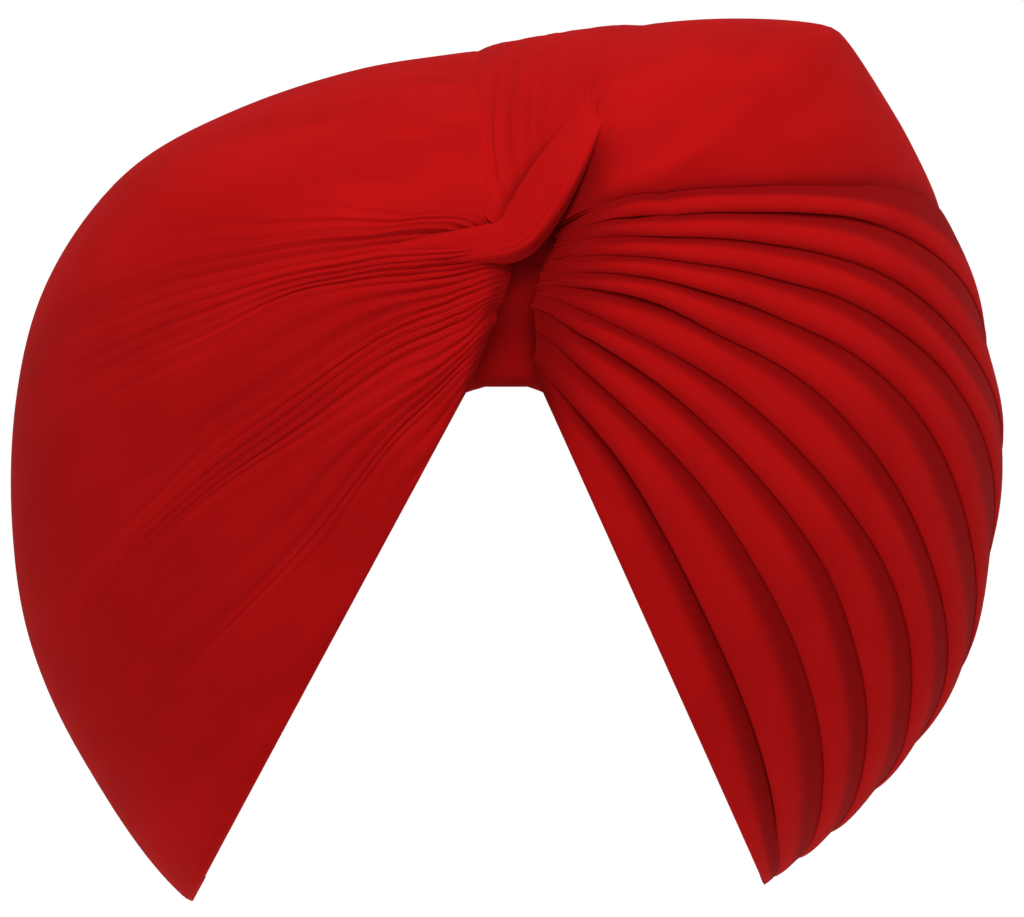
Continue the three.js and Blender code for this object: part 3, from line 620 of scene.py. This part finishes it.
def stations_along(column, rows):
    """Stations from a line's start to the hem, closer at both ends, and how far along it each lies."""
    fine = np.linspace(0, LAST_STATION, 40 * LAST_STATION + 1)
    turn, angle = through(column, fine).T
    places = cloth_point(turn, angle)
    lengths = np.concatenate([[0], np.cumsum(np.linalg.norm(np.diff(places, axis=0), axis=1))])
    past = hem_height(places[:, 0]) - places[:, 2] - places[:, 1] * LEAN
    below = (past > 0) & (places[:, 1] > 0)
    end = lengths[-1]
    if below.any():
        last = below.argmax()
        end = np.interp(0, past[last - 1 : last + 1], lengths[last - 1 : last + 1])
    roll = np.minimum([distance * MM for distance, _ in HEM_ROLL], end / 8)
    body = (end - roll[-1]) * np.linspace(0, 1, rows) ** 1.3
    distances = np.concatenate([body, end - roll[-2::-1]])
    return np.interp(distances, lengths, fine), distances


def lay_wrap(name, node, net, lines, rows, folds_of, sinking=DEEP_START):
    """Lays a wrap over its net of lines: folds_of gives each place's depth in mm and its painted shade."""
    columns = through(net, lines)
    ways = [stations_along(column, rows) for column in columns]
    stations = np.stack([way[0] for way in ways], 1)
    distances = np.stack([way[1] for way in ways], 1) / MM
    places = np.stack([through(column, stations[:, i]) for i, column in enumerate(columns)], 1)
    turn, angle = places[..., 0], places[..., 1]
    folds, shade = folds_of(turn, angle, stations)
    x, z = seen_from_front(turn, angle)
    groove = under_lines(x, z, groove_rows, 3) * on_front(turn)
    drop, reach, shade_reach, last_turn = sinking
    near_knot = smooth((last_turn - turn) / 0.15)
    sunk = drop * np.exp(-((distances / reach) ** 1.4)) * near_knot
    folds = folds * (1 - 0.8 * near_knot * np.exp(-((distances / (1.6 * reach)) ** 2)))
    # Painted shade in the hollow where the wrap starts under the knot
    shade = shade + 0.95 * np.exp(-((distances / shade_reach) ** 2)) * near_knot
    hem_drops = [hem_drop for _, hem_drop in HEM_ROLL[-2::-1]]
    tip = np.exp(-((np.minimum(abs(angle - LEFT_EDGE_ANGLE), abs(angle - RIGHT_EDGE_ANGLE)) / 4) ** 2))
    hem = np.concatenate([np.zeros(rows), hem_drops])[:, None] * (1 - tip)
    depth = softly_limited((folds + groove + sunk + hem) * MM, wrap_depth(turn, angle) + DEPTH_ALLOWANCE)
    # More painted shade in the groove beside the twist and on the hem rolled under
    shade = np.clip(shade + groove / 4 + hem / 12, 0, 1)
    points = cloth_point(turn, angle, depth)
    sheet_from(name, points, shade, node, OUTER_VOILE)


gathers = np.array([fold_line(*row[1:]) for row in LEFT_GATHERS])
gather_sinks = np.array([row[0] for row in LEFT_GATHERS])
LAST_GATHER = len(LEFT_GATHERS) - 1
# The rolled front edge, and the edge tucked under the tail: the place between the gathers, drop in mm
EDGE_ROLL = [(0.01, 9.0), (0.004, 5.0), (0.0, 2.0), (0.012, 0.9), (0.03, 0.35), (0.07, 0.08), (0.12, 0.0)]
TAIL_TUCK = [
    (LAST_GATHER - 0.03, 0.05), (LAST_GATHER, 0.2), (LAST_GATHER + 0.06, 1.2), (LAST_GATHER + 0.12, 2.4),
]
STREAKS = 2.15
FINE_STREAKS = 4.7
left_lines = np.concatenate([
    [line for line, _ in EDGE_ROLL],
    np.linspace(EDGE_ROLL[-1][0], LAST_GATHER - 1, 190)[1:],
    np.linspace(LAST_GATHER - 1, TAIL_TUCK[0][0], 44)[1:-1],
    [line for line, _ in TAIL_TUCK],
])


def left_folds(turn, angle, stations):
    low = np.clip(np.floor(left_lines).astype(int), 0, LAST_GATHER)
    high = np.minimum(low + 1, LAST_GATHER)
    sinks = gather_sinks[low] + (gather_sinks[high] - gather_sinks[low]) * smooth(left_lines % 1)
    calm = smooth((0.97 - turn) / 0.35)
    gathered = smooth((LAST_GATHER - 0.9 - left_lines) / 0.9)
    broad = GATHER_DEPTH * sinks * calm * smooth(turn / 0.2)
    drift = left_lines + 0.10 * waver(stations * 0.11, 21)
    streaks = (0.5 + 0.5 * np.sin(2 * np.pi * STREAKS * drift)) ** 1.6
    uneven = 0.75 + 0.25 * waver(left_lines * 0.41 + stations * 0.07, 23)
    ripple = FINE_STREAKS * drift + 0.3 * waver(stations * 0.15 + left_lines * 0.2, 22)
    fine = 0.5 + 0.5 * np.sin(2 * np.pi * ripple)
    near = np.exp(-(((turn - 0.16) / 0.40) ** 2)) * calm
    fine_folds = gathered * near * (0.85 * streaks * uneven + 0.3 * fine)
    slack = 0.35 * (1 + waver(left_lines * 0.3 + stations * 0.08, 25)) * smooth((turn - 1.15) / 0.3)
    folds = broad + fine_folds + slack
    # Painted shade in the gathers
    shade = 0.2 * broad + 0.22 * fine_folds
    x, z = seen_from_front(turn, angle)
    front = on_front(turn)
    for rows in KNOT_RELIEF.values():
        relief = under_lines(x, z, rows, 3) * front
        folds = folds + relief
        # Painted shade in the creases, and a little painted highlight on the raised band
        shade = shade + 0.2 * np.clip(relief, -0.5, None)
    folds = folds + under_lines(x, z, ridge_rows, 3) * front
    edge = np.interp(left_lines, *zip(*EDGE_ROLL[2:]))
    edge[:2] = [drop for _, drop in EDGE_ROLL[:2]]
    tuck = np.interp(left_lines, *zip(*[(LAST_GATHER - 0.1, 0.0), *TAIL_TUCK]))
    return folds + edge + tuck, shade


lay_wrap(
    "gathered_left_wrap", "left_wrap", gathers, left_lines, 160, left_folds,
    SOFT_START,
)

# Right pleats: ten folds of the cloth, each lapped over the one below it, laid from the face edge upwards.
# They fan out from under the knot, sweep over the side and close together at the nape.

# Each valley between pleats: its turn and angle at the start and neck, then its angle at each turn
PLEAT_VALLEYS = [
    ((0.222, 61), (0.27, 43),
     (38, 30, 25, 21.5, 19.5, 17, 14.5, 12), (5.5, -8, -32, -60)),
    ((0.2, 59), (0.25, 37),
     (31, 24, 19.5, 16, 12, 7.5, 3, -2), (-12, -28, -50, -70)),
    ((0.174, 56.4), (0.2, 36.5),
     (23.5, 16.5, 11.5, 7, 2, -3, -8, -14), (-25, -40, -57, -73)),
    ((0.131, 55.2), (0.2, 26.6),
     (14.8, 8, 3.5, -1.5, -6.5, -13, -19, -25), (-36, -48, -61, -76)),
    ((0.1, 51), (0.2, 16.7),
     (5.8, -1, -6, -12, -18.5, -25, -31, -37), (-45.5, -53, -63.5, -78)),
    ((0.075, 44.6), (0.2, 5.8),
     (-6, -12, -18.5, -24.5, -30.5, -36, -41, -46), (-52, -57.5, -66, -79)),
    ((0.06, 37.5), (0.2, -11.8),
     (-18.5, -24.5, -29.5, -34, -39, -44, -48, -52), (-56.5, -61, -68.5, -80)),
    ((0.042, 19.9), (0.2, -24.6),
     (-30.5, -35, -39, -43.5, -47.5, -51.5, -55, -58), (-60.5, -64, -71, -81)),
    ((0.042, -27), (0.2, -39.4),
     (-42, -45.5, -48.5, -51.5, -54.5, -57.5, -60, -62), (-63.3, -67, -73.5, -82)),
    ((0.057, -62), (0.2, -53),
     (-55, -57, -58.5, -60, -61.5, -63, -64, -65), (-66.5, -70, -76, -83)),
    ((0.085, RIGHT_EDGE_ANGLE), (0.2, RIGHT_EDGE_ANGLE),
     (RIGHT_EDGE_ANGLE,) * 8, (-69.5, -73.5, -78, -84)),
]
# Across a pleat, from under the one above to its own turned-under edge: the share across and depth in mm
PLEAT_SECTION = [
    (-0.08, 3.5), (-0.03, 3.1), (0.02, 2.75), (0.08, 2.5), (0.16, 2.15), (0.25, 1.75),
    (0.35, 1.25), (0.45, 0.75), (0.55, 0.32), (0.64, 0.08), (0.71, 0.0), (0.77, 0.05),
    (0.83, 0.22), (0.89, 0.6), (0.94, 1.1), (0.975, 1.65), (0.995, 2.3), (0.99, 3.0),
]
EDGE_PLEAT_SECTION = [
    (-0.08, 4.4), (-0.03, 3.9), (0.02, 3.4), (0.08, 3.0), (0.16, 2.3), (0.27, 1.4), (0.4, 0.6), (0.55, 0.1),
    (0.7, 0.0), (0.85, 0.0), (0.95, 0.1), (0.985, 0.5), (1.0, 1.4), (1.0, 3.0), (1.0, 6.0), (1.0, 9.0),
]
# The share of a pleat with painted shade, below the one lapped over it: at the front and at the side
SHADED_SHARES = (0.34, 0.56)
PLEAT_FULL_WIDTH = 12 * MM
PLEAT_COLUMNS = 50
PLEAT_SIDE_SHARE = 0.42
PLEAT_FLATTER_TURN = 0.6
valleys = np.array([fold_line(*row) for row in PLEAT_VALLEYS])


def width_between(net, stations):
    """The width of the cloth between two fold lines at each station."""
    fine = np.linspace(0, LAST_STATION, 20 * LAST_STATION + 1)
    sides = [cloth_point(*through(line, fine).T) for line in net]
    return np.interp(stations, fine, np.linalg.norm(sides[1] - sides[0], axis=1))


def lay_pleat(number):
    upper, lower = valleys[number - 1], valleys[number]
    section = EDGE_PLEAT_SECTION if number == len(valleys) - 1 else PLEAT_SECTION
    shares, depths = through(section, np.linspace(0, len(section) - 1, PLEAT_COLUMNS)).T

    def pleat_folds(turn, angle, stations):
        full = np.clip(0.8 * width_between((upper, lower), stations) / PLEAT_FULL_WIDTH, 0.1, 0.85)
        to_side = smooth((turn - PLEAT_FLATTER_TURN) / (1 - PLEAT_FLATTER_TURN))
        round_side = 1 - (1 - PLEAT_SIDE_SHARE) * to_side
        body = smooth(1 - np.abs(shares - 0.45) / 0.5)
        uneven = 0.25 * waver(stations * 0.1 + shares * 0.3, 40 + number) * body
        # Painted shade over the pleat's upper part, under the lap of the one above
        shaded = SHADED_SHARES[0] + (SHADED_SHARES[1] - SHADED_SHARES[0]) * smooth((turn - 0.35) / 0.5)
        shade = 0.85 * smooth((shaded + 0.2 - shares) / 0.42)
        return (depths + uneven) * full * room_for_folds(turn, angle) * round_side, shade

    lay_wrap(
        f"lapped_pleat_{number}", f"right_pleat_{number}", np.array([upper, lower]), shares, 150,
        pleat_folds,
    )


for number in range(len(valleys) - 1, 0, -1):
    lay_pleat(number)

# Top wrap: the smooth broad band over the crown, lapped over the first pleat. It leaves the knot under the
# twist, stretches over a soft corner at the crown's side, and runs on round the back.
TAIL_EDGE = {"start": (0.5, 67), "crown": 65.7, "ease": 1, "back": (68.5, 72, 72, 66)}
CROWN_CORNER = {"start": (0.36, 64), "crown": 41, "ease": 4, "back": (41, 41, 41, 41)}
# Across the top wrap, from under the tail to over the first pleat: the place between the lines, depth in mm
TOP_SECTION = [
    (-0.1, 1.4), (-0.04, 0.7), (0.0, 0.3), (0.05, 0.08), (0.12, 0.0), (0.4, 0.0), (0.7, 0.0), (1.0, 0.0),
    (1.2, 0.0), (1.4, 0.0), (1.55, 0.05), (1.7, 0.25), (1.82, 0.75), (1.91, 1.5), (1.97, 2.4), (2.0, 3.2),
    (1.995, 3.8), (1.97, 4.3), (1.93, 4.6),
]


def rising_line(start, crown, ease, back):
    shares = np.linspace(0, 1, WIDEST_ROW + 1)
    turns = start[0] + (1 - start[0]) * shares
    angles = crown + (start[1] - crown) * (1 - shares) ** ease
    return np.array([*zip(turns, angles), *zip(BACK_TURNS, back)], float)


tail_right = rising_line(**TAIL_EDGE)
crown_corner = rising_line(**CROWN_CORNER)
top_lines, top_depths = through(TOP_SECTION, np.linspace(0, len(TOP_SECTION) - 1, 112)).T


def top_folds(turn, angle, stations):
    full = np.clip(width_between((crown_corner, valleys[0]), stations) / (30 * MM), 0.35, 1)
    folds = top_depths * room_for_folds(turn, angle) * full
    lower = smooth((top_lines - 1.1) / 0.5) * smooth((2.0 - top_lines) / 0.1)
    fading = np.clip(1.25 - turn, 0.2, 1)
    folds = folds + 0.3 * lower * fading * (1 + waver(top_lines * 1.6 + 0.04 * stations, 71))
    folds += 0.2 * fading * waver(top_lines * 0.8 + 0.08 * stations, 72)
    # Painted shade along both edges, where the wrap dips under the tail and turns under over the first pleat
    return folds, 0.8 * smooth(top_depths / 3.0) * full


lay_wrap(
    "smooth_top_wrap", "top_wrap", np.array([tail_right, crown_corner, valleys[0]]), top_lines, 140,
    top_folds, BAND_START,
)

# Tucked tail: the end of the cloth, drawn up out of the knot in fine gathers that open over the crown.
# It lies over the left wrap and the top wrap, and is tucked in at the back.
# Across the tail, from its left edge to its right edge: the share across and depth in mm
TAIL_SECTION = [
    (-0.08, 2.0), (-0.05, 1.3), (-0.02, 0.8), (0.02, 0.42), (0.07, 0.15), (0.13, 0.0),
    (0.22, -0.08), (0.35, -0.15), (0.5, -0.2), (0.7, -0.15), (0.83, -0.1), (0.92, 0.0),
    (0.98, 0.15), (1.03, 0.45), (1.07, 0.9), (1.1, 1.5),
]
TAIL_GATHERS = 7
TAIL_PROUD = 0.9
tail_shares, tail_depths = through(TAIL_SECTION, np.linspace(0, len(TAIL_SECTION) - 1, 110)).T


def tail_folds(turn, angle, stations):
    start = np.clip((turn - 0.2) / 0.15, 0.3, 1)
    body = smooth(tail_shares / 0.15) * smooth((1 - tail_shares) / 0.15)
    fading = smooth((1.15 - turn) / 0.8) + 0.1
    spacing = tail_shares + 0.04 * waver(tail_shares * 1.1, 81) + 0.012 * waver(stations * 0.13, 82)
    gathered = (0.5 + 0.5 * np.cos(2 * np.pi * TAIL_GATHERS * spacing)) ** 1.4
    finer = 0.5 + 0.5 * np.cos(2 * np.pi * 2.3 * TAIL_GATHERS * spacing + 1.0)
    deep = fading * body * (1.0 * gathered * (0.7 + 0.3 * waver(tail_shares * 2.1, 83)) + 0.25 * finer)
    proud = TAIL_PROUD * smooth((turn - 0.45) / 0.5)
    ridge = under_lines(*seen_from_front(turn, angle), ridge_rows, 3) * on_front(turn)
    edges = tail_depths * room_for_folds(turn, angle) * start
    # Painted shade in the gathers
    return edges - proud * body + deep + ridge, 0.2 * deep


lay_wrap(
    "gathered_tail", "tucked_tail", np.array([gathers[-1], tail_right]), tail_shares, 140, tail_folds,
    TAIL_START,
)

# Front twist: the cloth rolled on itself where the wraps cross. It grows out of the bright band of the
# left wrap, turns up over the knot and flattens out into the tail. Its left side lies softly on the tail's
# gathers, and its right side is rolled under above the pleats.
TWIST_ROWS = 150
TWIST_STRANDS = 4
# Across the twist: the share of its half width, the share of its rise, and the extra depth in mm
TWIST_ACROSS = [
    (-2.8, 0.0, 2.6), (-2.3, 0.0, 1.4), (-1.8, 0.05, 0.55), (-1.3, 0.22, 0.1), (-0.85, 0.48, 0.0),
    (-0.4, 0.82, 0.0), (0.0, 1.0, 0.0), (0.35, 0.92, 0.0), (0.65, 0.7, 0.1), (0.88, 0.38, 0.4),
    (1.03, 0.08, 1.0), (1.14, 0.0, 1.9), (1.2, 0.0, 2.9), (1.22, 0.0, 4.0),
]
twist_out, twist_lift, twist_drop = through(TWIST_ACROSS, np.linspace(0, len(TWIST_ACROSS) - 1, 76)).T
section_at = np.linspace(0, len(TWIST_SECTIONS) - 1, TWIST_ROWS)
twist_x, twist_z, twist_half, twist_rise = through(TWIST_SECTIONS, section_at).T
axis = np.stack([twist_x, twist_z], 1)
way = np.gradient(axis, axis=0)
way /= np.linalg.norm(way, axis=1, keepdims=True)
out = twist_out * twist_half[:, None]
turn, angle = place_seen_at(axis[:, :1] + way[:, 1:] * out, axis[:, 1:] - way[:, :1] * out)
twist_along = section_at[:, None]
strand = TWIST_STRANDS * (0.5 * twist_out + 0.07 * twist_along) + 0.12 * waver(twist_along * 0.25, 92)
strand_fold = (0.5 + 0.5 * np.cos(2 * np.pi * strand)) ** 1.4
finer_fold = 0.5 + 0.5 * np.cos(2 * np.pi * (2.6 * strand + 0.2))
risen = smooth(twist_rise / 2.5)[:, None]
folds = (0.4 * strand_fold + 0.12 * finer_fold) * smooth(1.25 - np.abs(twist_out)) * risen
depth = twist_drop - twist_rise[:, None] * twist_lift + folds
under = smooth((twist_out - 0.55) / 0.45) * risen
# Painted shade in the strands' folds and on the side rolled under
sheet_from(
    "rolled_twist", cloth_point(turn, angle, depth * MM), np.clip(0.5 * folds + 0.9 * under, 0, 1),
    "front_twist", OUTER_VOILE,
)

# Studio: a pale floor far below, a wide soft light from above the front, and even light all round.
# The camera looks at the front along the turban's lean, as in the photograph.
FLOOR_HEIGHT = -1.4
PALE = (0.93, 0.93, 0.93, 1)
FLOOR_GLOW = 0.4
EVEN_LIGHT = 0.66
VIEW_WIDTH = 0.28672
VIEW_DISTANCE = 6.0
VIEW_ELEVATION = np.radians(10)
VIEW_AIM = (0.0011, 0, -0.0399)
SENSOR_WIDTH = 36

bpy.ops.mesh.primitive_plane_add(size=60, location=(0, 0, FLOOR_HEIGHT))
floor = bpy.context.object
floor.name = "pale_floor"
paint = bpy.data.materials.new("pale_floor")
paint.use_nodes = True
pale = paint.node_tree.nodes["Principled BSDF"].inputs
pale["Base Color"].default_value = PALE
pale["Roughness"].default_value = 0.9
pale["Emission Color"].default_value = PALE
pale["Emission Strength"].default_value = FLOOR_GLOW
floor.data.materials.append(paint)


def soft_light(name, place, aim, size, energy):
    lamp = bpy.data.lights.new(name, "AREA")
    lamp.shape = "DISK"
    lamp.size = size
    lamp.energy = energy
    holder = bpy.data.objects.new(name, lamp)
    holder.location = place
    holder.rotation_euler = (Vector(place) - Vector(aim)).to_track_quat("Z", "Y").to_euler()
    bpy.context.collection.objects.link(holder)


soft_light("key", (0.2, -1.35, 2.6), (0, 0, -0.05), 1.5, 102)

world = bpy.data.worlds.new("even_light")
world.use_nodes = True
world.node_tree.nodes["Background"].inputs["Color"].default_value = (1, 1, 1, 1)
world.node_tree.nodes["Background"].inputs["Strength"].default_value = EVEN_LIGHT
bpy.context.scene.world = world
bpy.context.scene.view_settings.view_transform = "Standard"

lens = bpy.data.cameras.new("camera")
lens.sensor_width = SENSOR_WIDTH
lens.lens = SENSOR_WIDTH * VIEW_DISTANCE / VIEW_WIDTH
lens.clip_end = 100
camera = bpy.data.objects.new("camera", lens)
camera.location = (
    VIEW_AIM[0],
    -VIEW_DISTANCE * np.cos(VIEW_ELEVATION),
    VIEW_AIM[2] + VIEW_DISTANCE * np.sin(VIEW_ELEVATION),
)
camera.rotation_euler = (np.pi / 2 - VIEW_ELEVATION, 0, 0)
bpy.context.collection.objects.link(camera)
bpy.context.scene.camera = camera
